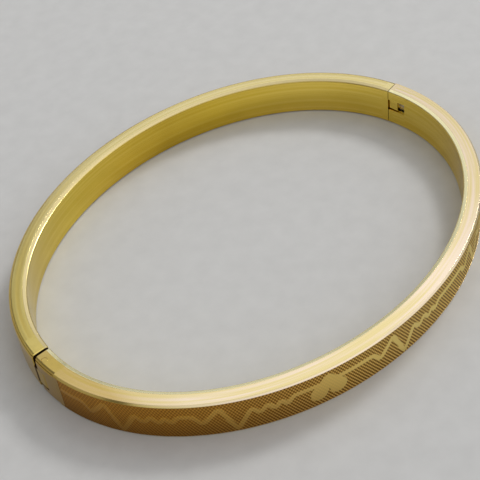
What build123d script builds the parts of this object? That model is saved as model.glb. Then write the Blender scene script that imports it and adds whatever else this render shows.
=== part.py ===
"""Hinged oval bangle bracelet, gold-tone: two hollow halves, a pinned knuckle hinge and a box clasp.

Frame: origin under the middle of the oval on the resting plane, +X along the oval's long axis,
+Z up through the wrist opening. All sizes are in millimetres.
"""

from build123d import *
from math import cos, radians, sin
import os

os.makedirs("parts", exist_ok=True)

# Wrist opening and band section
INNER_A = 29.0
INNER_B = 22.8
WALL = 2.2
HEIGHT = 5.1
SHEET = 0.45
LINER = 0.5
INNER_BEVEL = 0.46
INNER_DROP = 0.13
INNER_ROUND = 0.18
CRISP_CHAMFER = 0.2
SIDE_ROUND = 0.45

# Where the two joints are, as parameter angles round the oval
PIN_ANGLE = 175.9
CLASP_ANGLE = 5.4

# Etched field on the front half's outer wall
ETCH_DEPTH = 0.05
ETCH_RIM = 0.22
ETCH_FIRST = 183.0
ETCH_LAST = 358.0

# Hinge
PIN_RADIUS = 0.35
PIN_INSET = 0.8
PIN_RECESS = 0.02
PIN_SLACK = 0.04
BARREL_RADIUS = 0.78
BARREL_LOW = 1.15
BARREL_HIGH = 3.55
KNUCKLE_REACH = 1.05
HINGE_GAP = 0.42
END_BEVEL = 0.1
FIT_GAP = 0.1
BLOCK_LENGTH = 2.4
SPIGOT_LENGTH = 2.6
OPEN_LIMIT = 60

# Clasp
SEAM_GAP = 0.04
PLATE = 0.6
SLOT_LOW = 1.15
SLOT_HIGH = 3.95
SLOT_INNER = -0.12
SLOT_OUTER = 0.70
NOTCH_LOW = 2.15
NOTCH_HIGH = 3.75
NOTCH_DEPTH = 2.6
TONGUE_INNER = 0.15
TONGUE_OUTER = 0.45
TONGUE_LENGTH = 4.2
LEAF = 0.2
LEAF_END = -0.74
STRIP_LOW = 1.25
STRIP_HIGH = 3.85
CAP_LENGTH = 0.9
CAP_SPIGOT = 1.6
TAB_LOW = 2.25
TAB_HIGH = 3.65
TAB_FACE = -0.88
TAB_FIRST = -1.5
TAB_LAST = -0.12


def on_oval(offset, angle):
    """Point of the oval that lies offset outside the wrist opening, at a parameter angle."""
    turn = radians(angle)
    return Vector((INNER_A + offset) * cos(turn), (INNER_B + offset) * sin(turn), 0)


def station(offset, angle):
    """Plane on the band: x points outward, y runs anticlockwise along the band, z is up."""
    turn = radians(angle)
    outward = Vector((INNER_B + offset) * cos(turn), (INNER_A + offset) * sin(turn), 0)
    return Plane(origin=on_oval(offset, angle), x_dir=outward, z_dir=(0, 0, 1))


def raised(plane, height):
    """The same plane, lifted to a height."""
    return Plane(origin=plane.origin + Vector(0, 0, height), x_dir=plane.x_dir, z_dir=(0, 0, 1))


HINGE = station(WALL, PIN_ANGLE)
PIN = Plane(origin=HINGE.from_local_coords((-PIN_INSET, 0, 0)), x_dir=HINGE.x_dir, z_dir=(0, 0, 1))
CLASP = station(WALL / 2, CLASP_ANGLE)
LATCH = Plane(origin=CLASP.origin, x_dir=CLASP.origin - PIN.origin, z_dir=(0, 0, 1))

FRONT_END = -KNUCKLE_REACH
REAR_END = KNUCKLE_REACH + HINGE_GAP
FAR = 40.0


def ring(inner, outer, low=0.0):
    """Flat oval ring between two offsets from the wrist opening."""
    with BuildSketch(Plane.XY.offset(low)) as sketch:
        Ellipse(INNER_A + outer, INNER_B + outer)
        Ellipse(INNER_A + inner, INNER_B + inner, mode=Mode.SUBTRACT)
    return sketch.sketch


def half_plan(side, hinge_cut, clasp_cut):
    """Plan region of one half, side -1 front or +1 rear, between its two cuts in local y."""
    corners = [
        CLASP.from_local_coords((-6, clasp_cut, 0)),
        CLASP.from_local_coords((5, clasp_cut, 0)),
        Vector(1.2 * FAR, side * FAR, 0),
        Vector(-1.2 * FAR, side * FAR, 0),
        HINGE.from_local_coords((5, hinge_cut, 0)),
        HINGE.from_local_coords((-6, hinge_cut, 0)),
    ]
    with BuildSketch() as sketch:
        with BuildLine():
            Polyline(*[(c.X, c.Y) for c in corners], close=True)
        make_face()
    return sketch.sketch


def slab(plane, first, last, low):
    """Plan rectangle across the whole wall, from first to last in local y."""
    with BuildSketch(raised(plane, low)) as sketch:
        with Locations((0, (first + last) / 2)):
            Rectangle(9, last - first)
    return sketch.sketch


def window(plane, x_first, x_last, y_first, y_last, low):
    """Plan rectangle given by its corners in a local plane, at a height."""
    with BuildSketch(raised(plane, low)) as sketch:
        with Locations(((x_first + x_last) / 2, (y_first + y_last) / 2)):
            Rectangle(x_last - x_first, y_last - y_first)
    return sketch.sketch


def inner_taper(rim, drop):
    """Oval cone whose side is the shallow bevel round the opening, at one rim."""
    with BuildPart() as taper:
        with BuildSketch(Plane.XY.offset(rim)):
            Ellipse(INNER_A + INNER_BEVEL, INNER_B + INNER_BEVEL)
        with BuildSketch(Plane.XY.offset(rim + 2 * drop)):
            Ellipse(INNER_A - INNER_BEVEL, INNER_B - INNER_BEVEL)
        loft()
    return taper.part


def long_edges(part, offset):
    """Level edges that run round the oval at an offset from the wrist opening."""
    reach = INNER_A + offset
    found = []
    for edge in part.edges():
        flat = abs(edge.bounding_box().size.Z) < 0.001
        if flat and abs(edge.bounding_box().max.X - reach) < 0.001:
            found.append(edge)
    return found


def full_ring(rounded):
    """Whole band, solid and closed, with rounded or crisply chamfered outer edges."""
    with BuildPart() as whole:
        extrude(ring(0, WALL), amount=HEIGHT)
        add(inner_taper(0, INNER_DROP), mode=Mode.SUBTRACT)
        add(inner_taper(HEIGHT, -INNER_DROP), mode=Mode.SUBTRACT)
        fillet(long_edges(whole, 0), radius=INNER_ROUND)
        if rounded:
            fillet(long_edges(whole, WALL), radius=SIDE_ROUND)
        else:
            chamfer(long_edges(whole, WALL), length=CRISP_CHAMFER)
    return whole.part


def hollow_room():
    """Space inside the sheet-metal channel, which end fittings plug into."""
    with BuildPart() as room:
        extrude(ring(LINER, WALL - SHEET, SHEET), amount=HEIGHT - 2 * SHEET)
    return room.part


CRISP_BAND = full_ring(rounded=False)
ROUND_BAND = full_ring(rounded=True)
ROOM = hollow_room()


def stretch(ring_part, plane, first, last, keep):
    """Short stretch of a ring beside one joint, from first to last in that joint's local y."""
    with BuildPart() as piece:
        add(ring_part)
        extrude(slab(plane, first, last, 0), amount=HEIGHT, mode=Mode.INTERSECT)
        split(bisect_by=Plane.YZ, keep=keep)
    return piece.part


def etched_zone():
    """Sector that covers the etched stretch of the outer wall."""
    first = on_oval(3 * WALL, ETCH_FIRST)
    last = on_oval(3 * WALL, ETCH_LAST)
    with BuildSketch() as sketch:
        with BuildLine():
            Polyline((0, 0), (first.X, first.Y), (-FAR, -FAR), (FAR, -FAR), (last.X, last.Y), close=True)
        make_face()
    return sketch.sketch


with BuildPart() as etch_cutter:
    extrude(ring(WALL - ETCH_DEPTH, 2 * WALL, ETCH_RIM), amount=HEIGHT - 2 * ETCH_RIM)
    extrude(etched_zone(), amount=HEIGHT, mode=Mode.INTERSECT)


# ---------------------------------------------------------------- front half

with BuildPart() as front_shell:
    add(CRISP_BAND)
    extrude(half_plan(-1, BLOCK_LENGTH, -PLATE - SEAM_GAP), amount=HEIGHT, mode=Mode.INTERSECT)
    extrude(ring(-1, LINER), amount=HEIGHT, mode=Mode.SUBTRACT)
    add(ROOM, mode=Mode.SUBTRACT)
    add(etch_cutter.part, mode=Mode.SUBTRACT)

with BuildPart() as front_liner:
    add(CRISP_BAND)
    extrude(half_plan(-1, BLOCK_LENGTH, -PLATE - SEAM_GAP), amount=HEIGHT, mode=Mode.INTERSECT)
    extrude(ring(LINER, 2 * WALL), amount=HEIGHT, mode=Mode.SUBTRACT)
    extrude(
        window(CLASP, -3, 0, -NOTCH_DEPTH, 0, NOTCH_LOW),
        amount=NOTCH_HIGH - NOTCH_LOW,
        mode=Mode.SUBTRACT,
    )


def neck_sweep():
    """Plan of the room that the rear barrel and its neck need from shut to fully open."""
    room = BARREL_RADIUS + FIT_GAP
    with BuildSketch(raised(PIN, BARREL_LOW - FIT_GAP)) as sketch:
        Circle(room)
        for turn in range(0, OPEN_LIMIT + 10, 10):
            with Locations(Location((0, 0, 0), (0, 0, turn))):
                with Locations((0, -room)):
                    Rectangle(2 * room, 2 * room)
    return sketch.sketch


def outer_corner():
    """Plan of the sharp outer corner beyond the knuckles' round reach."""
    with BuildSketch(PIN) as sketch:
        with Locations((1, -1)):
            Rectangle(2, 2)
        Circle(KNUCKLE_REACH, mode=Mode.SUBTRACT)
    return sketch.sketch


with BuildPart() as front_hinge_block:
    add(stretch(ROUND_BAND, HINGE, FRONT_END, BLOCK_LENGTH, Keep.BOTTOM))
    extrude(outer_corner(), amount=HEIGHT, mode=Mode.SUBTRACT)
    add(stretch(ROOM, HINGE, BLOCK_LENGTH, BLOCK_LENGTH + SPIGOT_LENGTH, Keep.BOTTOM))
    extrude(neck_sweep(), amount=BARREL_HIGH - BARREL_LOW + 2 * FIT_GAP, mode=Mode.SUBTRACT)
    with BuildSketch(PIN):
        Circle(PIN_RADIUS)
    extrude(amount=HEIGHT, mode=Mode.SUBTRACT)

with BuildPart() as hinge_pin:
    with BuildSketch(raised(PIN, PIN_RECESS)):
        Circle(PIN_RADIUS)
    extrude(amount=HEIGHT - 2 * PIN_RECESS)
    fillet(hinge_pin.edges().filter_by(GeomType.CIRCLE), radius=0.04)

with BuildPart() as clasp_faceplate:
    add(stretch(CRISP_BAND, CLASP, -PLATE - SEAM_GAP, -SEAM_GAP, Keep.TOP))
    extrude(
        window(LATCH, SLOT_INNER, SLOT_OUTER, -2, 1, SLOT_LOW),
        amount=SLOT_HIGH - SLOT_LOW,
        mode=Mode.SUBTRACT,
    )
    extrude(
        window(LATCH, -3, SLOT_INNER + 0.01, -2, 1, NOTCH_LOW),
        amount=NOTCH_HIGH - NOTCH_LOW,
        mode=Mode.SUBTRACT,
    )


# ---------------------------------------------------------------- rear half

with BuildPart() as rear_shell:
    add(ROUND_BAND)
    extrude(half_plan(1, -REAR_END - BLOCK_LENGTH, CAP_LENGTH + SEAM_GAP), amount=HEIGHT, mode=Mode.INTERSECT)
    extrude(ring(-1, LINER), amount=HEIGHT, mode=Mode.SUBTRACT)
    add(ROOM, mode=Mode.SUBTRACT)

with BuildPart() as rear_liner:
    add(ROUND_BAND)
    extrude(half_plan(1, -REAR_END - BLOCK_LENGTH, CAP_LENGTH + SEAM_GAP), amount=HEIGHT, mode=Mode.INTERSECT)
    extrude(ring(LINER, 2 * WALL), amount=HEIGHT, mode=Mode.SUBTRACT)

with BuildPart() as rear_hinge_block:
    add(stretch(ROUND_BAND, HINGE, -REAR_END - BLOCK_LENGTH, -REAR_END, Keep.BOTTOM))
    chamfer(rear_hinge_block.faces().sort_by(Axis((0, 0, 0), HINGE.y_dir))[-1].edges(), length=END_BEVEL)
    add(
        stretch(
            ROOM,
            HINGE,
            -REAR_END - BLOCK_LENGTH - SPIGOT_LENGTH,
            -REAR_END - BLOCK_LENGTH,
            Keep.BOTTOM,
        )
    )
    with BuildSketch(raised(PIN, BARREL_LOW)):
        Circle(BARREL_RADIUS)
        with Locations((0, -(REAR_END + END_BEVEL) / 2)):
            Rectangle(2 * BARREL_RADIUS, REAR_END + END_BEVEL)
    extrude(amount=BARREL_HIGH - BARREL_LOW)
    with BuildSketch(raised(PIN, BARREL_LOW)):
        Circle(PIN_RADIUS + PIN_SLACK)
    extrude(amount=BARREL_HIGH - BARREL_LOW, mode=Mode.SUBTRACT)

with BuildPart() as rear_end_cap:
    add(stretch(ROUND_BAND, CLASP, SEAM_GAP, SEAM_GAP + CAP_LENGTH, Keep.TOP))
    add(
        stretch(
            ROOM,
            CLASP,
            SEAM_GAP + CAP_LENGTH,
            SEAM_GAP + CAP_LENGTH + CAP_SPIGOT,
            Keep.TOP,
        )
    )
    extrude(
        window(LATCH, TONGUE_INNER, TONGUE_OUTER, -1, SEAM_GAP + CAP_LENGTH, STRIP_LOW),
        amount=STRIP_HIGH - STRIP_LOW,
        mode=Mode.SUBTRACT,
    )

with BuildPart() as tongue_plate:
    extrude(
        window(LATCH, TONGUE_INNER, TONGUE_OUTER, -TONGUE_LENGTH, SEAM_GAP + CAP_LENGTH, STRIP_LOW),
        amount=STRIP_HIGH - STRIP_LOW,
    )

with BuildPart() as catch_leaf:
    with BuildSketch(raised(LATCH, STRIP_LOW)) as leaf_plan:
        with BuildLine():
            Polyline(
                (TONGUE_OUTER, -TONGUE_LENGTH),
                (TONGUE_OUTER, -TONGUE_LENGTH - LEAF),
                (TONGUE_INNER - 1.4 * LEAF, -TONGUE_LENGTH - LEAF),
                (SLOT_INNER - LEAF, LEAF_END),
                (SLOT_INNER, LEAF_END),
                (TONGUE_INNER - 0.4 * LEAF, -TONGUE_LENGTH),
                close=True,
            )
        make_face()
        fillet(leaf_plan.vertices().group_by(Axis((0, 0, 0), LATCH.y_dir))[0], radius=0.9 * LEAF)
    extrude(amount=STRIP_HIGH - STRIP_LOW)

with BuildPart() as release_tab:
    extrude(
        window(LATCH, TAB_FACE, SLOT_INNER - LEAF, TAB_FIRST, TAB_LAST, TAB_LOW),
        amount=TAB_HIGH - TAB_LOW,
    )
    fillet(release_tab.faces().sort_by(Axis((0, 0, 0), LATCH.x_dir))[0].edges(), radius=0.12)


# ---------------------------------------------------------------- names and files

front_shell.part.label = "front_shell"
front_liner.part.label = "front_liner"
front_hinge_block.part.label = "front_hinge_block"
hinge_pin.part.label = "hinge_pin"
clasp_faceplate.part.label = "clasp_faceplate"
rear_shell.part.label = "rear_shell"
rear_liner.part.label = "rear_liner"
rear_hinge_block.part.label = "rear_hinge_block"
rear_end_cap.part.label = "rear_end_cap"
tongue_plate.part.label = "tongue_plate"
catch_leaf.part.label = "catch_leaf"
release_tab.part.label = "release_tab"

export_step(front_shell.part, "parts/front_shell.step")
export_step(front_liner.part, "parts/front_liner.step")
export_step(front_hinge_block.part, "parts/front_hinge_block.step")
export_step(hinge_pin.part, "parts/hinge_pin.step")
export_step(clasp_faceplate.part, "parts/clasp_faceplate.step")
export_step(rear_shell.part, "parts/rear_shell.step")
export_step(rear_liner.part, "parts/rear_liner.step")
export_step(rear_hinge_block.part, "parts/rear_hinge_block.step")
export_step(rear_end_cap.part, "parts/rear_end_cap.step")
export_step(tongue_plate.part, "parts/tongue_plate.step")
export_step(catch_leaf.part, "parts/catch_leaf.step")
export_step(release_tab.part, "parts/release_tab.step")
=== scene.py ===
"""Looks of the hinged oval bangle: gold finishes, the laser-etched field and a plain studio."""
import math

import bpy
import numpy as np
from mathutils import Matrix, Vector


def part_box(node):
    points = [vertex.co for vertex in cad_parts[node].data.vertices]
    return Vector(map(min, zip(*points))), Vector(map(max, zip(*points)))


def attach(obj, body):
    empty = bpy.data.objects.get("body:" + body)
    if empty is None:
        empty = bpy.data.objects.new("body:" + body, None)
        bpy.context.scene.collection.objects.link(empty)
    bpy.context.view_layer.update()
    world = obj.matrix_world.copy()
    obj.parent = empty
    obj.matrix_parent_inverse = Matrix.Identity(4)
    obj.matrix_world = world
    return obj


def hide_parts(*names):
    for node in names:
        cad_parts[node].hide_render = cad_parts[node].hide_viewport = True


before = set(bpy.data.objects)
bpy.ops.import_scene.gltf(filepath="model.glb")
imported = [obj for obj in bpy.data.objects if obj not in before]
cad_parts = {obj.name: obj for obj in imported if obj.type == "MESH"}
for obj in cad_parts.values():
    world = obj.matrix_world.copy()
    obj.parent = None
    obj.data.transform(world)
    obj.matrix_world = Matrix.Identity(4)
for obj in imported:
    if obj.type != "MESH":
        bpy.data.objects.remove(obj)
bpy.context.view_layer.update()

# ------------------------------------------------------------------ sizes in mm, as in the CAD model
MM = 0.001
INNER_A = 29.0
INNER_B = 22.8
WALL = 2.2
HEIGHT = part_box("front_hinge_block")[1].z / MM
SHEET = 0.45
LINER = 0.5
INNER_BEVEL = 0.46
INNER_DROP = 0.13
INNER_ROUND = 0.18
CRISP_CHAMFER = 0.2
SIDE_ROUND = 0.45
CROWN = 0.016
CROWN_RADIUS = 13.0
EDGE_SOFTNESS = 0.03

PIN_ANGLE = 175.9
CLASP_ANGLE = 5.4
BLOCK_LENGTH = 2.4
REAR_END = 1.47
FRONT_END = 1.05
PLATE_BACK = 0.64
CAP_BACK = 0.94
NOTCH_LOW = 2.15
NOTCH_HIGH = 3.75
NOTCH_DEPTH = 2.6

# Etched field: the recess it lies in, its margin from the rims, the angles where it ends, how far its
# back lies behind the recess's floor, and the radius of the recess's corners
ETCH_DEPTH = 0.05
ETCH_RIM = 0.22
ETCH_FIRST = 183.0
ETCH_LAST = 358.0
SKIN_BACK = 0.004
RECESS_SOFTNESS = 0.004

# The two crossing hatches, as cycles per mm along the band and up the wall. The second hatch's share
# is given at the bottom of the wall, with its rise per mm. A ridge lies RIDGE_DEPTH below the smooth
# line work, and a groove is cut GROOVE_DEPTH below a ridge.
HATCH_MAIN = (2.57, 1.78)
HATCH_CROSS = (2.60, -1.70)
CROSS_SHARE = (0.20, 0.05)
RIDGE_DEPTH = 0.006
GROOVE_DEPTH = 0.034

# Heartbeat line and hearts, in mm along the outer wall from the front half's middle, and up the wall.
# A beat's corners are measured from its peak. A heart is two strokes from its tip to its lobes, each
# end given as (along, up, radius). The edge width is where smooth gold falls away to the hatch, and the
# hatch moves that edge in and out by up to half of EDGE_SWAY.
TRACE_HEIGHT = 3.3
TRACE_WIDTH = 0.60
TRACE_BEND = 0.46
BEAT = (
    (-2.9, 0.0), (-1.85, -1.25), (0.0, 0.85), (1.75, -2.85), (3.35, 0.0), (4.3, -1.0),
    (5.15, 0.0), (5.95, -1.0), (6.65, -0.05), (7.3, -0.95), (7.95, 0.0),
)
BEAT_PEAKS = (-36.9, -24.5, -3.8, 12.6, 25.0)
HEARTS = (-12.45, 37.05)
HEART_LOBE = (1.17, 2.0, 1.06)
HEART_TIP = (0.0, 3.8, 0.6)
EDGE_WIDTH = 0.07
EDGE_SWAY = 0.10


# ------------------------------------------------------------------ the oval
def oval_point(offset, turn):
    """Plan position of a point offset outside the wrist opening, at a parameter angle in radians."""
    return (INNER_A + offset) * np.cos(turn), (INNER_B + offset) * np.sin(turn)


def oval_normal(offset, turn):
    """Outward unit normal of the oval there."""
    x, y = (INNER_B + offset) * np.cos(turn), (INNER_A + offset) * np.sin(turn)
    size = np.hypot(x, y)
    return x / size, y / size


def arc_table():
    """Lengths along the outer wall from the front half's middle, for angles right round the oval."""
    turns = np.radians(np.linspace(90, 450, 7201))
    x, y = oval_point(WALL, turns)
    lengths = np.concatenate([[0], np.cumsum(np.hypot(np.diff(x), np.diff(y)))])
    return turns, lengths - np.interp(math.radians(270), turns, lengths)


TURNS, LENGTHS = arc_table()


def length_at(turn):
    return np.interp(turn, TURNS, LENGTHS)


def turn_at(length):
    return np.interp(length, LENGTHS, TURNS)


class Cut:
    """A flat cut square across the band: at a joint's angle, shifted along the band."""

    def __init__(self, angle, depth, shift):
        self.turn = math.radians(angle)
        self.origin = oval_point(depth, self.turn)
        self.normal = oval_normal(depth, self.turn)
        self.shift = shift

    def turns(self, offsets):
        """Parameter angle at which each offset's oval meets the cut."""
        turn = np.full(len(offsets), self.turn)
        for _ in range(8):
            x, y = oval_point(offsets, turn)
            along = (y - self.origin[1]) * self.normal[0] - (x - self.origin[0]) * self.normal[1]
            turn = turn + (self.shift - along) / (INNER_B + offsets)
        return turn


# ------------------------------------------------------------------ swept band pieces
def outline(corners, steps=6):
    """Closed outline of (offset, height, radius) corners, anticlockwise, as points and outward normals."""
    points, normals = [], []
    count = len(corners)
    spots = [Vector(c[:2]) for c in corners]
    for i in range(count):
        before = (spots[i] - spots[i - 1]).normalized()
        after = (spots[(i + 1) % count] - spots[i]).normalized()
        turn = math.atan2(before.cross(after), before.dot(after))
        reach = corners[i][2] * abs(math.tan(turn / 2))
        centre_side = Vector((-before.y, before.x)) * math.copysign(corners[i][2], turn)
        centre = spots[i] - before * reach + centre_side
        for k in range(steps + 1):
            swing = Matrix.Rotation(turn * k / steps, 2)
            points.append(centre - swing @ centre_side)
            normals.append(swing @ Vector((before.y, -before.x)))
    return np.array(points), np.array(normals)


def sweep(name, corners, first, last, columns):
    """Solid band piece: an outline carried round the oval from one cut to the other."""
    points, normals = outline(corners)
    offsets, heights = points[:, 0], points[:, 1]
    start, stop = first.turns(offsets), last.turns(offsets)
    share = np.linspace(0, 1, columns + 1)[:, None]
    turn = start + (stop - start) * share
    x, y = oval_point(offsets, turn)
    nx, ny = oval_normal(offsets, turn)
    rows = len(offsets)
    z = np.broadcast_to(heights, turn.shape)
    verts = np.stack([x, y, z], -1).reshape(-1, 3) * MM
    lift = np.broadcast_to(normals[:, 1], turn.shape)
    shade = np.stack([nx * normals[:, 0], ny * normals[:, 0], lift], -1).reshape(-1, 3)
    faces = []
    for i in range(columns):
        for j in range(rows):
            k = (j + 1) % rows
            faces.append((i * rows + j, (i + 1) * rows + j, (i + 1) * rows + k, i * rows + k))
    faces.append(tuple(range(rows)))
    faces.append(tuple(range(columns * rows + rows - 1, columns * rows - 1, -1)))
    piece = make_piece(name, verts, faces)
    mesh = piece.data
    loops = np.zeros(len(mesh.loops), int)
    mesh.loops.foreach_get("vertex_index", loops)
    corner_normals = shade[loops]
    for cap, turn_cap, side in ((mesh.polygons[-2], start, -1), (mesh.polygons[-1], stop, 1)):
        cx, cy = oval_normal(offsets.mean(), turn_cap.mean())
        corner_normals[cap.loop_start:cap.loop_start + cap.loop_total] = (-cy * side, cx * side, 0)
    mesh.normals_split_custom_set(corner_normals.tolist())
    run = np.concatenate([[0], np.cumsum(np.hypot(*np.diff(points, axis=0).T))])
    across = np.broadcast_to(run, turn.shape)
    mark_band(mesh, np.stack([length_at(turn), across, np.zeros(turn.shape)], -1))
    return piece


def make_piece(name, verts, faces):
    """Mesh object with smooth faces, linked to the scene."""
    mesh = bpy.data.meshes.new(name)
    mesh.from_pydata(verts.tolist(), [], faces)
    mesh.polygons.foreach_set("use_smooth", [True] * len(mesh.polygons))
    mesh.update()
    piece = bpy.data.objects.new(name, mesh)
    bpy.context.scene.collection.objects.link(piece)
    return piece


def mark_band(mesh, marks):
    """Stores three marks at each vertex: mm along the band, mm across it and, if etched, smoothness."""
    layer = mesh.attributes.new("band", "FLOAT_VECTOR", "POINT")
    layer.data.foreach_set("vector", marks.astype(np.float32).ravel())


def channel(outer_corners):
    """Section of a sheet-metal channel, open to the inside, with the given outer corners."""
    soft = EDGE_SOFTNESS
    return (
        [(LINER, 0.0, soft)]
        + outer_corners
        + [
            (LINER, HEIGHT, soft),
            (LINER, HEIGHT - SHEET, soft),
            (WALL - SHEET, HEIGHT - SHEET, soft),
            (WALL - SHEET, SHEET, soft),
            (LINER, SHEET, soft),
        ]
    )


def front_section(recessed):
    """Front channel: crisp chamfered rims and, where recessed, a shallow bed for the etched field."""
    soft = EDGE_SOFTNESS
    lower = [(WALL - CRISP_CHAMFER, 0.0, soft), (WALL, CRISP_CHAMFER, soft)]
    upper = [(WALL, HEIGHT - CRISP_CHAMFER, soft), (WALL - CRISP_CHAMFER, HEIGHT, soft)]
    recess = [
        (WALL, ETCH_RIM, RECESS_SOFTNESS),
        (WALL - ETCH_DEPTH, ETCH_RIM, RECESS_SOFTNESS),
        (WALL - ETCH_DEPTH, HEIGHT - ETCH_RIM, RECESS_SOFTNESS),
        (WALL, HEIGHT - ETCH_RIM, RECESS_SOFTNESS),
    ]
    return channel(lower + (recess if recessed else []) + upper)


def rear_section():
    """Rear channel: broad rounded outer edges and a faintly crowned rim."""
    rim = [(WALL, HEIGHT - CROWN, SIDE_ROUND), (1.35, HEIGHT, CROWN_RADIUS)]
    return channel([(WALL, 0.0, SIDE_ROUND)] + rim)


def liner_section(low=0.0, high=None):
    """Inner wall strip; at the rims it carries the shallow bevel round the opening."""
    high = HEIGHT if high is None else high
    soft = EDGE_SOFTNESS
    corners = [(0.0, low, soft), (LINER, low, 0.01)]
    if low == 0.0:
        corners = [(0.0, INNER_DROP, INNER_ROUND), (INNER_BEVEL, 0.0, soft), (LINER, 0.0, 0.002)]
    if high < HEIGHT:
        return corners + [(LINER, high, 0.01), (0.0, high, soft)]
    return corners + [
        (LINER, high, 0.002), (INNER_BEVEL, high, soft), (0.0, high - INNER_DROP, INNER_ROUND),
    ]


# ------------------------------------------------------------------ etched field
def trace_points():
    """Corner points of the heartbeat line from one end of the field to the other."""
    points = [(length_at(math.radians(ETCH_FIRST)) + 0.4, TRACE_HEIGHT)]
    for peak in BEAT_PEAKS:
        points += [(peak + along, TRACE_HEIGHT + up) for along, up in BEAT]
    points.append((length_at(math.radians(ETCH_LAST)) - 0.4, TRACE_HEIGHT))
    return [Vector(p) for p in points if p[0] >= points[0][0]]


def rounded(points, reach, steps):
    """The same line with each corner turned into a short curve."""
    line = [points[0]]
    for before, corner, after in zip(points, points[1:], points[2:]):
        towards, onwards = before - corner, after - corner
        first = corner + towards * min(reach / towards.length, 0.45)
        last = corner + onwards * min(reach / onwards.length, 0.45)
        for k in range(steps + 1):
            share = k / steps
            line.append(first.lerp(corner, share).lerp(corner.lerp(last, share), share))
    return line + [points[-1]]


def distance_to_trace(along, up):
    """Distance in mm from the edge of the heartbeat line; negative inside it."""
    nearest = np.full(along.shape, 99.0)
    line = rounded(trace_points(), TRACE_BEND, 5)
    for (ax, ay), (bx, by) in zip(line, line[1:]):
        near = (along[:, 0] > ax - 2) & (along[:, 0] < bx + 2)
        if not near.any():
            continue
        px, py = along[near] - ax, up[near] - ay
        dx, dy = bx - ax, by - ay
        share = np.clip((px * dx + py * dy) / (dx * dx + dy * dy), 0, 1)
        gap = np.hypot(px - share * dx, py - share * dy)
        nearest[near] = np.minimum(nearest[near], gap)
    return nearest - TRACE_WIDTH / 2


def distance_to_heart(along, up, centre):
    """Distance in mm from a plain heart, tip upwards, made of two tapered strokes."""
    nearest = np.full(along.shape, 99.0)
    for side in (-1, 1):
        for share in np.linspace(0, 1, 40):
            cx = centre + side * HEART_LOBE[0] * (1 - share)
            cy = HEART_LOBE[1] * (1 - share) + HEART_TIP[1] * share
            radius = HEART_LOBE[2] * (1 - share) + HEART_TIP[2] * share
            nearest = np.minimum(nearest, np.hypot(along - cx, up - cy) - radius)
    return nearest


def wave(along, up, hatch):
    """Hatch height, 0 in a groove and 1 on a ridge."""
    return 0.5 + 0.5 * np.sin(2 * math.pi * (hatch[0] * along + hatch[1] * up))


def etched_field():
    """Skin of the etched stretch: hatched grooves, with the line and the hearts left standing."""
    first, last = length_at(math.radians(ETCH_FIRST)), length_at(math.radians(ETCH_LAST))
    low, high = ETCH_RIM + 0.002, HEIGHT - ETCH_RIM - 0.002
    along_steps, up_steps = 1900, 70
    along, up = np.meshgrid(
        np.linspace(first + 0.01, last - 0.01, along_steps),
        np.linspace(low, high, up_steps),
        indexing="ij",
    )
    gap = distance_to_trace(along, up)
    for heart in HEARTS:
        near = abs(along[:, 0] - heart) < 4
        gap[near] = np.minimum(gap[near], distance_to_heart(along[near], up[near], heart))
    cross = CROSS_SHARE[0] + CROSS_SHARE[1] * up
    ridge = (1 - cross) * wave(along, up, HATCH_MAIN) + cross * wave(along, up, HATCH_CROSS)
    smooth = np.clip(0.5 - (gap - EDGE_SWAY * (ridge - 0.5)) / EDGE_WIDTH, 0, 1)
    depth = (1 - smooth) * (RIDGE_DEPTH + GROOVE_DEPTH * (1 - ridge)) + 0.001
    turn = turn_at(along)
    x, y = oval_point(WALL - depth, turn)
    skin = np.stack([x, y, up], -1).reshape(-1, 3)
    back_turn = turn[:, 0]
    bx, by = oval_point(WALL - ETCH_DEPTH - SKIN_BACK, back_turn)
    low_back = np.stack([bx, by, np.full(along_steps, low)], -1)
    high_back = np.stack([bx, by, np.full(along_steps, high)], -1)
    verts = np.concatenate([skin, low_back, high_back]) * MM
    lows, highs = along_steps * up_steps, along_steps * up_steps + along_steps
    faces = []
    for i in range(along_steps - 1):
        here, there = i * up_steps, (i + 1) * up_steps
        for j in range(up_steps - 1):
            faces.append((here + j, there + j, there + j + 1, here + j + 1))
        faces.append((lows + i, lows + i + 1, there, here))
        faces.append((here + up_steps - 1, there + up_steps - 1, highs + i + 1, highs + i))
        faces.append((highs + i, highs + i + 1, lows + i + 1, lows + i))
    faces.append((lows, *range(up_steps), highs))
    end = (along_steps - 1) * up_steps
    faces.append((
        highs + along_steps - 1, *range(end + up_steps - 1, end - 1, -1), lows + along_steps - 1,
    ))
    piece = make_piece("etched_field", verts, faces)
    marks = np.stack([along, up, smooth], -1).reshape(-1, 3)
    mark_band(piece.data, np.concatenate([marks, np.zeros((2 * along_steps, 3))]))
    return piece


# ------------------------------------------------------------------ materials
def set_stops(node, stops):
    """Gives a colour ramp its (position, colour) stops, in rising order."""
    elements = node.color_ramp.elements
    while len(elements) < len(stops):
        elements.new(0.5)
    for element, (position, colour) in zip(elements, stops):
        element.position = position
        element.color = colour


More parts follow.
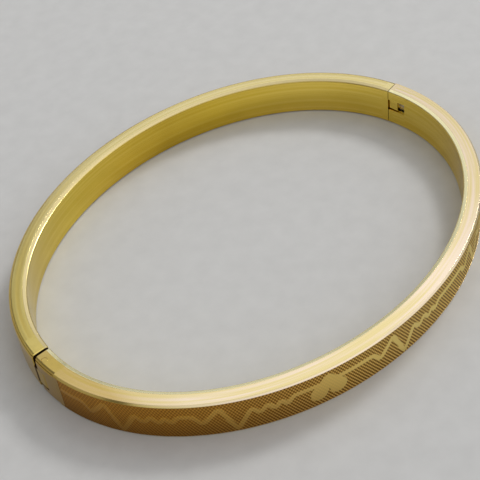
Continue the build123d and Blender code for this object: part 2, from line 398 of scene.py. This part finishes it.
class Nodes:
    """Small helper that adds shader nodes and joins them."""

    def __init__(self, name):
        self.material = bpy.data.materials.new(name)
        self.material.use_nodes = True
        self.tree = self.material.node_tree
        self.tree.nodes.clear()
        self.shader = self.add("ShaderNodeBsdfPrincipled")
        self.output = self.add("ShaderNodeOutputMaterial")
        self.tree.links.new(self.shader.outputs[0], self.output.inputs["Surface"])

    def add(self, kind, **settings):
        node = self.tree.nodes.new(kind)
        for key, value in settings.items():
            setattr(node, key, value)
        return node

    def link(self, source, target):
        self.tree.links.new(source, target)

    def put(self, socket, value):
        """A number or colour goes on the socket; another node's output is joined to it."""
        if hasattr(value, "is_output"):
            self.link(value, socket)
        else:
            socket.default_value = value

    def math(self, operation, a, b=0.0, c=0.0, clamp=False):
        node = self.add("ShaderNodeMath", operation=operation, use_clamp=clamp)
        for socket, value in zip(node.inputs, (a, b, c)):
            self.put(socket, value)
        return node.outputs[0]

    def mix(self, share, a, b, blend="MIX"):
        node = self.add("ShaderNodeMix", data_type="RGBA", blend_type=blend)
        self.put(node.inputs["Factor"], share)
        self.put(node.inputs[6], a)
        self.put(node.inputs[7], b)
        return node.outputs[2]

    def noise(self, place, scale, detail=3.0, roughness=0.5):
        node = self.add("ShaderNodeTexNoise")
        self.link(place, node.inputs["Vector"])
        node.inputs["Scale"].default_value = scale
        node.inputs["Detail"].default_value = detail
        node.inputs["Roughness"].default_value = roughness
        return node.outputs["Fac"]

    def ramp(self, value, stops):
        """Colour ramp from (position, colour) stops."""
        node = self.add("ShaderNodeValToRGB")
        self.link(value, node.inputs[0])
        set_stops(node, stops)
        return node.outputs[0]

    def scaled(self, place, scale):
        node = self.add("ShaderNodeMapping")
        self.link(place, node.inputs["Vector"])
        node.inputs["Scale"].default_value = scale
        return node.outputs[0]

    def bump(self, height, depth):
        """Fine relief, with its depth in mm."""
        node = self.add("ShaderNodeBump")
        self.link(height, node.inputs["Height"])
        node.inputs["Distance"].default_value = depth * MM
        self.link(node.outputs[0], self.shader.inputs["Normal"])

    def object_place(self):
        """Position in the object's own space, in metres."""
        return self.add("ShaderNodeTexCoord").outputs["Object"]

    def measure(self, place, direction, start, reach):
        """Share from 0 to 1 of the way past start, in mm, over reach mm in a direction."""
        node = self.add("ShaderNodeVectorMath", operation="DOT_PRODUCT")
        self.link(place, node.inputs[0])
        node.inputs[1].default_value = Vector(direction) / (reach * MM)
        return self.math("ADD", node.outputs["Value"], -start / reach, clamp=True)

    def with_painted_light(self, tint, place, painted_light):
        """The tint with painted shade and reflection tints that change slowly from the bangle's left end
        to its right end.
        """
        spot = self.measure(place, (1, 0, 0), -INNER_A, 2 * INNER_A)
        return self.mix(1.0, tint, self.ramp(spot, painted_light), "MULTIPLY")

    def within(self, place, offset, reach):
        """Share that is 1 at an offset from the wrist opening and falls to 0 over reach mm outwards."""
        oval = self.add("ShaderNodeVectorMath", operation="LENGTH")
        scale = (1 / ((INNER_A + offset) * MM), 1 / ((INNER_B + offset) * MM), 0)
        self.link(self.scaled(place, scale), oval.inputs[0])
        slope = (INNER_A + INNER_B) / 2 / reach
        return self.math("MULTIPLY_ADD", oval.outputs["Value"], -slope, slope + 1, clamp=True)

    def with_side_shade(self, tint, place, depth):
        """The tint with painted shade on the outer side, deeper and warmer there, coming in over a depth
        in mm.
        """
        side_shaded = self.mix(1.0, tint, SIDE_SHADE, "MULTIPLY")
        return self.mix(self.within(place, WALL - depth, 0.8 * depth), side_shaded, tint)

    def band_place(self):
        """The marks stored by mark_band."""
        return self.add("ShaderNodeAttribute", attribute_name="band").outputs["Vector"]


def gold(name, tones, roughness, streak, painted_light, bevel_highlight=None, side=0.0):
    """Gold plate on a swept piece: faint streaks along the band, uneven tone and soft handling marks.

    Tones are its deeper and lighter colours, and streak is the depth of the streaks in mm; the streaks in
    the colour are painted reflections. The painted light is slow painted shade and reflection tints from
    the left end of the bangle to the right. A bevel highlight colour, where given, is a painted highlight
    on the shallow bevels at the rims. Side is the depth in mm over which painted shade makes the outer
    side deeper and warmer.
    """
    n = Nodes(name)
    band = n.band_place()
    broad = n.noise(n.scaled(band, (0.040, 1.1, 1.0)), 1.0, 1.0, 0.4)
    streaks_and_reflections = n.noise(n.scaled(band, (0.06, 2.8, 1.0)), 1.0, 1.0, 0.5)
    place = n.object_place()
    patches = n.noise(place, PATCH_SCALE, 3.0)
    # The lengthwise streaks in the colour are painted reflections; the patches are handling marks
    tone = n.math("ADD", n.math("MULTIPLY", broad, 0.45), n.math("MULTIPLY", streaks_and_reflections, 0.45))
    tone = n.math("MULTIPLY_ADD", patches, 0.1, tone)
    # Painted shade and reflection tints change the colour slowly along the band
    tint = n.with_painted_light(n.ramp(tone, [(0.42, tones[0]), (0.58, tones[1])]), place, painted_light)
    # Painted shade on the outer side
    if side:
        tint = n.with_side_shade(tint, place, side)
    # Painted highlight: paler gold on the shallow rim bevels
    if bevel_highlight:
        start = HEIGHT - INNER_DROP - 0.06
        tint = n.mix(n.measure(place, (0, 0, 1), start, 0.1), tint, bevel_highlight)
        tint = n.mix(n.measure(place, (0, 0, -1), start - HEIGHT, 0.1), tint, bevel_highlight)
    n.put(n.shader.inputs["Base Color"], tint)
    n.shader.inputs["Metallic"].default_value = 1.0
    spread = n.math("MULTIPLY_ADD", streaks_and_reflections, 0.08, roughness - 0.06)
    n.put(n.shader.inputs["Roughness"], n.math("MULTIPLY_ADD", patches, 0.06, spread))
    n.bump(n.math("MULTIPLY_ADD", streaks_and_reflections, 0.25, broad), streak)
    return n.material


def hinge_gap(n, place):
    """Share that is 1 on the faces inside the hinge gap, between the two blocks' ends."""
    hinge = Cut(PIN_ANGLE, WALL, 0.0)
    (x, y), (nx, ny) = hinge.origin, hinge.normal
    zero = y * nx - x * ny
    past_rear = n.measure(place, (-ny, nx, 0), zero - REAR_END - GAP_FADE, GAP_FADE)
    before_front = n.measure(place, (ny, -nx, 0), FRONT_END - GAP_FADE - zero, GAP_FADE)
    return n.math("MULTIPLY", past_rear, before_front)


def cast_gold(name, tones, roughness, painted_light, bevel_highlight):
    """Gold plate on the end fittings: deeper in tone towards the wrist, with painted shade on the outer
    side and in the hinge gap and a painted highlight on the inner rim.
    """
    n = Nodes(name)
    place = n.object_place()
    patches = n.noise(place, PATCH_SCALE, 3.0)
    grain = n.noise(n.scaled(place, (1.0, 1.0, 3.0)), 1500.0, 3.0, 0.5)
    # Painted shade and reflection tints along the band, on the outer and the wrist-facing colours
    tint = n.with_painted_light(n.ramp(patches, [(0.35, tones[0]), (0.65, tones[1])]), place, painted_light)
    # Wrist-facing side: deeper gold, partly the plate's own tone and partly painted reflected light
    deep = n.with_painted_light(n.ramp(patches, [(0.35, DEEP_GOLD[0]), (0.65, DEEP_GOLD[1])]), place, INNER_PAINTED_LIGHT)
    # Painted highlight: paler gold on the inner rim bevel
    rim = n.mix(n.measure(place, (0, 0, 1), HEIGHT - INNER_DROP - 0.02, 0.04), deep, bevel_highlight)
    # Painted shade on the outer side
    tint = n.mix(n.within(place, INNER_BEVEL, 0.02), n.with_side_shade(tint, place, 0.5), rim)
    # Painted shade on the faces inside the hinge gap
    gap = hinge_gap(n, place)
    n.put(n.shader.inputs["Base Color"], n.mix(gap, tint, GAP_SHADE))
    n.shader.inputs["Metallic"].default_value = 1.0
    spread = n.math("MULTIPLY_ADD", grain, 0.12, roughness - 0.06)
    n.put(n.shader.inputs["Roughness"], n.math("MULTIPLY_ADD", gap, 0.4, spread))
    n.bump(grain, 0.001)
    return n.material


def etched(name):
    """Laser-etched gold: brown burnt grooves between tan ridges, and smooth satin line work.

    The hatch and the line grow fainter towards the bangle's left end, and painted shade darkens the lower
    edge. Painted shade and reflection tints change the tone slowly along the band.
    """
    n = Nodes(name)
    band = n.band_place()
    split = n.add("ShaderNodeSeparateXYZ")
    n.link(band, split.inputs[0])
    along, up, smooth = split.outputs
    wobble = n.noise(band, 1.3, 2.0)

    def hatch(rates):
        phase = n.math("MULTIPLY_ADD", up, rates[1], n.math("MULTIPLY", along, rates[0]))
        phase = n.math("MULTIPLY_ADD", wobble, 0.25, phase)
        return n.math("MULTIPLY_ADD", n.math("SINE", n.math("MULTIPLY", phase, 2 * math.pi)), 0.5, 0.5)

    cross = n.math("MULTIPLY_ADD", up, CROSS_SHARE[1], CROSS_SHARE[0])
    main = hatch(HATCH_MAIN)
    ridge = n.math("MULTIPLY_ADD", cross, n.math("SUBTRACT", hatch(HATCH_CROSS), main), main)
    speckle = n.noise(band, 14.0, 2.0, 0.7)
    ridge = n.math("MULTIPLY_ADD", n.math("SUBTRACT", speckle, 0.5), 0.5, ridge)
    place = n.object_place()
    clear = n.measure(place, (1, 0, 0), FAINT_END, FAINT_REACH)
    contrast = n.math("MULTIPLY_ADD", clear, HATCH_CONTRAST[1], HATCH_CONTRAST[0])
    ridge = n.math("ADD", n.math("MULTIPLY", n.math("SUBTRACT", ridge, 0.5), contrast), 0.5)
    strength = n.math("MULTIPLY_ADD", clear, LINE_STRENGTH[1], LINE_STRENGTH[0])
    line = n.math("MULTIPLY", smooth, strength)
    tint = n.mix(line, n.ramp(ridge, BURNT_GOLD), n.ramp(speckle, LINE_GOLD))
    # Painted shade and reflection tints along the band
    tint = n.with_painted_light(tint, place, ETCH_PAINTED_LIGHT)
    # Painted shade: the lower edge is darker towards the left end
    low = n.measure(place, (0, 0, -1), -LOW_TOP, LOW_TOP)
    low = n.math("MULTIPLY", low, n.measure(place, (-1, 0, 0), LOW_START, LOW_REACH))
    n.put(n.shader.inputs["Base Color"], n.mix(n.math("MULTIPLY", low, LOW_SHADE_SHARE), tint, LOW_SHADE))
    n.shader.inputs["Metallic"].default_value = 1.0
    n.put(n.shader.inputs["Roughness"], n.math("MULTIPLY_ADD", smooth, -0.10, 0.50))
    n.bump(speckle, 0.004)
    return n.material


def steel(name):
    """Bare spring steel with a fine brushed grain."""
    n = Nodes(name)
    grain = n.noise(n.scaled(n.object_place(), (1.0, 1.0, 0.1)), 9000.0, 4.0)
    n.put(n.shader.inputs["Base Color"], n.ramp(grain, STEEL))
    n.shader.inputs["Metallic"].default_value = 1.0
    n.put(n.shader.inputs["Roughness"], n.math("MULTIPLY_ADD", grain, 0.15, 0.25))
    n.bump(grain, 0.001)
    return n.material


# Pairs of gold are (deeper, lighter) tones, and the wrist-facing side is the deepest: its deeper, more
# saturated tone is partly the plate's own and partly painted reflected light from the facing gold walls
LIGHT_GOLD = ((0.88, 0.73, 0.36, 1), (0.98, 0.81, 0.62, 1))
MID_GOLD = ((0.84, 0.67, 0.28, 1), (0.92, 0.77, 0.40, 1))
DEEP_GOLD = ((0.80, 0.60, 0.11, 1), (0.88, 0.69, 0.18, 1))
# Paler gold for the inner rim bevels, a painted highlight
FRONT_BEVEL_HIGHLIGHT = (0.98, 0.90, 0.54, 1)
REAR_BEVEL_HIGHLIGHT = (0.74, 0.61, 0.31, 1)
# Painted shade that deepens and warms the outer side
SIDE_SHADE = (0.78, 0.67, 0.42, 1)
STEEL = [(0.3, (0.45, 0.43, 0.39, 1)), (0.7, (0.62, 0.60, 0.56, 1))]

# Noise scale of the handling marks, per metre, and the painted shade in the hinge gap with its fade in mm
PATCH_SCALE = 160.0
GAP_SHADE = (0.07, 0.035, 0.012, 1)
GAP_FADE = 0.01

# Etched field, from groove to ridge, and its smooth line work
BURNT_GOLD = [
    (0.22, (0.19, 0.085, 0.012, 1)), (0.52, (0.53, 0.32, 0.066, 1)), (0.82, (0.96, 0.70, 0.22, 1)),
]
LINE_GOLD = [(0.3, (0.90, 0.68, 0.20, 1)), (0.7, (0.98, 0.78, 0.28, 1))]

# The field is faintest up to x = FAINT_END and clears over FAINT_REACH mm to the right. The hatch and
# the line are each given as the share at the faint end and its rise.
FAINT_END = -28.0
FAINT_REACH = 19.0
HATCH_CONTRAST = (0.28, 0.62)
LINE_STRENGTH = (0.26, 0.74)

# Painted shade darkens the lower edge from LOW_TOP mm downwards, coming in over LOW_REACH mm left of x =
# -LOW_START
LOW_SHADE = (0.09, 0.035, 0.008, 1)
LOW_SHADE_SHARE = 0.42
LOW_TOP = 3.4
LOW_START = 10.0
LOW_REACH = 14.0

# Slow painted shade and reflection tints, as multipliers from the bangle's left end (0) to its right end
# (1)
FRONT_PAINTED_LIGHT = [
    (0.0, (0.70, 0.62, 0.34, 1)), (0.03, (0.88, 0.85, 0.66, 1)), (0.08, (1.0, 1.0, 1.0, 1)),
    (0.62, (1.0, 1.0, 1.0, 1)), (0.83, (0.87, 0.86, 0.84, 1)),
]
REAR_PAINTED_LIGHT = [
    (0.015, (0.93, 0.89, 0.56, 1)), (0.08, (0.99, 0.97, 0.68, 1)), (0.28, (1.04, 1.04, 0.95, 1)),
    (0.55, (0.95, 0.97, 0.95, 1)),
]
INNER_PAINTED_LIGHT = [
    (0.08, (0.84, 0.86, 1.0, 1)), (0.30, (0.98, 0.98, 0.70, 1)), (0.50, (0.96, 0.88, 0.50, 1)),
    (0.62, (0.84, 0.76, 0.38, 1)), (0.74, (0.96, 0.89, 0.46, 1)), (0.92, (1.12, 1.08, 0.85, 1)),
]
ETCH_PAINTED_LIGHT = [
    (0.04, (0.97, 0.76, 0.43, 1)), (0.20, (0.95, 0.83, 0.66, 1)), (0.36, (0.98, 0.95, 0.86, 1)),
    (0.50, (0.95, 0.97, 0.97, 1)), (0.64, (0.95, 0.97, 0.82, 1)), (0.79, (0.75, 0.74, 0.45, 1)),
]

polished = gold("polished_gold", LIGHT_GOLD, 0.16, 0.004, FRONT_PAINTED_LIGHT)
satin = gold("satin_gold", MID_GOLD, 0.22, 0.006, REAR_PAINTED_LIGHT, side=0.5)
# Wrist-facing walls: deeper gold, partly painted reflected light, with a painted highlight on the bevels
front_inner = gold("front_inner_gold", DEEP_GOLD, 0.20, 0.003, INNER_PAINTED_LIGHT, FRONT_BEVEL_HIGHLIGHT)
rear_inner = gold("rear_inner_gold", DEEP_GOLD, 0.20, 0.003, INNER_PAINTED_LIGHT, REAR_BEVEL_HIGHLIGHT)
polished_end = gold("polished_end_gold", LIGHT_GOLD, 0.16, 0.004, FRONT_PAINTED_LIGHT, side=0.15)
polished_fitting = cast_gold("polished_fitting", LIGHT_GOLD, 0.16, FRONT_PAINTED_LIGHT, FRONT_BEVEL_HIGHLIGHT)
satin_fitting = cast_gold("satin_fitting", MID_GOLD, 0.22, REAR_PAINTED_LIGHT, REAR_BEVEL_HIGHLIGHT)
etched_gold = etched("etched_gold")
spring_steel = steel("spring_steel")


def paint(piece, material):
    piece.data.materials.clear()
    piece.data.materials.append(material)


# ------------------------------------------------------------------ the two halves
front_hinge_cut = Cut(PIN_ANGLE, WALL, BLOCK_LENGTH)
front_clasp_cut = Cut(360 + CLASP_ANGLE, WALL / 2, -PLATE_BACK)
field_first = Cut(ETCH_FIRST, WALL, 0.0)
field_last = Cut(ETCH_LAST, WALL, 0.0)
notch_cut = Cut(360 + CLASP_ANGLE, WALL / 2, -NOTCH_DEPTH)
rear_clasp_cut = Cut(CLASP_ANGLE, WALL / 2, CAP_BACK)
rear_hinge_cut = Cut(PIN_ANGLE, WALL, -REAR_END - BLOCK_LENGTH)


def add_piece(piece, body, material, slot, *nodes):
    """Finishes a piece: its material, its body and the CAD nodes that it stands for. Its slot is not used.
    """
    paint(piece, material)
    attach(piece, body)
    if nodes:
        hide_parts(*nodes)


add_piece(
    sweep("front_band", front_section(recessed=True), field_first, field_last, 900),
    "front_half", polished, "polished_gold", "front_shell",
)
add_piece(
    sweep("front_band_hinge_end", front_section(recessed=False), front_hinge_cut, field_first, 30),
    "front_half", polished_end, "polished_gold",
)
add_piece(
    sweep("front_band_clasp_end", front_section(recessed=False), field_last, front_clasp_cut, 60),
    "front_half", polished_end, "polished_gold",
)
add_piece(
    sweep("front_inner_wall", liner_section(), front_hinge_cut, notch_cut, 900),
    "front_half", front_inner, "satin_gold", "front_liner",
)
add_piece(
    sweep("notch_lower_edge", liner_section(0.0, NOTCH_LOW), notch_cut, front_clasp_cut, 30),
    "front_half", front_inner, "satin_gold",
)
add_piece(
    sweep("notch_upper_edge", liner_section(NOTCH_HIGH, HEIGHT), notch_cut, front_clasp_cut, 30),
    "front_half", front_inner, "satin_gold",
)
add_piece(etched_field(), "front_half", etched_gold, "etched_gold")
add_piece(
    sweep("rear_band", rear_section(), rear_clasp_cut, rear_hinge_cut, 900),
    "rear_half", satin, "satin_gold", "rear_shell",
)
add_piece(
    sweep("rear_inner_wall", liner_section(), rear_clasp_cut, rear_hinge_cut, 900),
    "rear_half", rear_inner, "satin_gold", "rear_liner",
)

for node in ("front_hinge_block", "hinge_pin", "clasp_faceplate", "release_tab"):
    paint(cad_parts[node], polished_fitting)
for node in ("rear_hinge_block", "rear_end_cap"):
    paint(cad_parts[node], satin_fitting)
for node in ("tongue_plate", "catch_leaf"):
    paint(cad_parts[node], spring_steel)


# ------------------------------------------------------------------ studio
FLOOR_TONES = [(0.3, (0.675, 0.67, 0.656, 1)), (0.7, (0.715, 0.71, 0.696, 1))]


def floor():
    """Plain pale floor, a large flat disc just under the bangle."""
    count, radius, height = 96, 3.0, -0.01 * MM
    turns = np.linspace(0, 2 * math.pi, count, endpoint=False)
    ring = np.stack([radius * np.cos(turns), radius * np.sin(turns), np.full(count, height)], -1)
    piece = make_piece("floor", ring, [tuple(range(count))])
    n = Nodes("floor")
    grain = n.noise(n.object_place(), 400.0, 4.0)
    n.put(n.shader.inputs["Base Color"], n.ramp(grain, FLOOR_TONES))
    n.shader.inputs["Roughness"].default_value = 0.9
    paint(piece, n.material)


def direction(azimuth, elevation):
    """Unit vector towards an azimuth, from +Y round to +X, and an elevation, in degrees."""
    azimuth, elevation = math.radians(azimuth), math.radians(elevation)
    level = math.cos(elevation)
    return Vector((math.sin(azimuth) * level, math.cos(azimuth) * level, math.sin(elevation)))


# Soft panels at one distance: azimuth and elevation in degrees, size in metres, power in watts
PANEL_DISTANCE = 0.8
PANELS = {
    "window": (68, 50, (0.96, 0.52), 0.88),
    "key": (84, 42, (0.20, 0.16), 1.7),
    "fill": (208, 44, (1.60, 0.30), 0.67),
    "low": (18, 14, (1.15, 0.26), 0.47),
    "side": (125, 24, (0.75, 0.34), 0.28),
    "back": (-48, 28, (0.95, 0.40), 0.42),
}


def soft_panel(name, azimuth, elevation, size, power):
    """Soft rectangular light that points at the bangle. The camera doesn't see it directly."""
    light = bpy.data.lights.new(name, "AREA")
    light.shape = "RECTANGLE"
    light.size, light.size_y = size
    light.energy = power
    lamp = bpy.data.objects.new(name, light)
    away = direction(azimuth, elevation)
    lamp.location = away * PANEL_DISTANCE
    lamp.rotation_euler = away.to_track_quat("Z", "Y").to_euler()
    lamp.visible_camera = False
    bpy.context.scene.collection.objects.link(lamp)


# Brightness of the room, from its darkest side (0), low on the left behind the bangle, to its brightest
ROOM_STRENGTH = 0.6
ROOM_SLOPE = (0.215, -0.215, 0.395)
ROOM = [
    (0.25, (0.10, 0.09, 0.08, 1)), (0.50, (0.26, 0.25, 0.24, 1)), (0.67, (0.46, 0.47, 0.49, 1)),
    (1.00, (1.0, 1.0, 1.0, 1)),
]


def surroundings():
    """Soft room: brightest overhead and to the right, dimmer low down behind the bangle on the left."""
    world = bpy.data.worlds.new("studio")
    world.use_nodes = True
    tree = world.node_tree
    place = tree.nodes.new("ShaderNodeTexCoord")
    spread = tree.nodes.new("ShaderNodeVectorMath")
    spread.operation = "DOT_PRODUCT"
    spread.inputs[1].default_value = ROOM_SLOPE
    half = tree.nodes.new("ShaderNodeMath")
    half.operation = "ADD"
    half.inputs[1].default_value = 0.5
    ramp = tree.nodes.new("ShaderNodeValToRGB")
    set_stops(ramp, ROOM)
    background = tree.nodes["Background"]
    background.inputs["Strength"].default_value = ROOM_STRENGTH
    tree.links.new(place.outputs["Generated"], spread.inputs[0])
    tree.links.new(spread.outputs["Value"], half.inputs[0])
    tree.links.new(half.outputs[0], ramp.inputs[0])
    tree.links.new(ramp.outputs[0], background.inputs["Color"])
    bpy.context.scene.world = world


# The photograph's view, from the front left: degrees, with mm for the lens and the distances
VIEW_AZIMUTH = 220.26
VIEW_ELEVATION = 42.97
VIEW_ROLL = -8.40
VIEW_DISTANCE = 143.17
VIEW_SHIFT = (-1.618, 0.752)
LENS = 87.85
SENSOR = 36.0


def camera():
    """Camera at the photograph's viewing angle, moved a little sideways to frame the bangle as there."""
    data = bpy.data.cameras.new("camera")
    data.lens = LENS
    data.sensor_width = SENSOR
    data.clip_start = 0.005
    data.clip_end = 20.0
    azimuth, roll = math.radians(VIEW_AZIMUTH), math.radians(VIEW_ROLL)
    back = direction(VIEW_AZIMUTH, VIEW_ELEVATION)
    level = Vector((-math.cos(azimuth), math.sin(azimuth), 0))
    right = math.cos(roll) * level + math.sin(roll) * back.cross(level)
    up = back.cross(right)
    place = (back * VIEW_DISTANCE + right * VIEW_SHIFT[0] + up * VIEW_SHIFT[1]) * MM
    view = bpy.data.objects.new("camera", data)
    view.matrix_world = Matrix.Translation(place) @ Matrix((right, up, back)).transposed().to_4x4()
    bpy.context.scene.collection.objects.link(view)
    bpy.context.scene.camera = view


floor()
for panel, settings in PANELS.items():
    soft_panel(panel, *settings)
surroundings()
camera()
bpy.context.scene.view_settings.view_transform = "Standard"
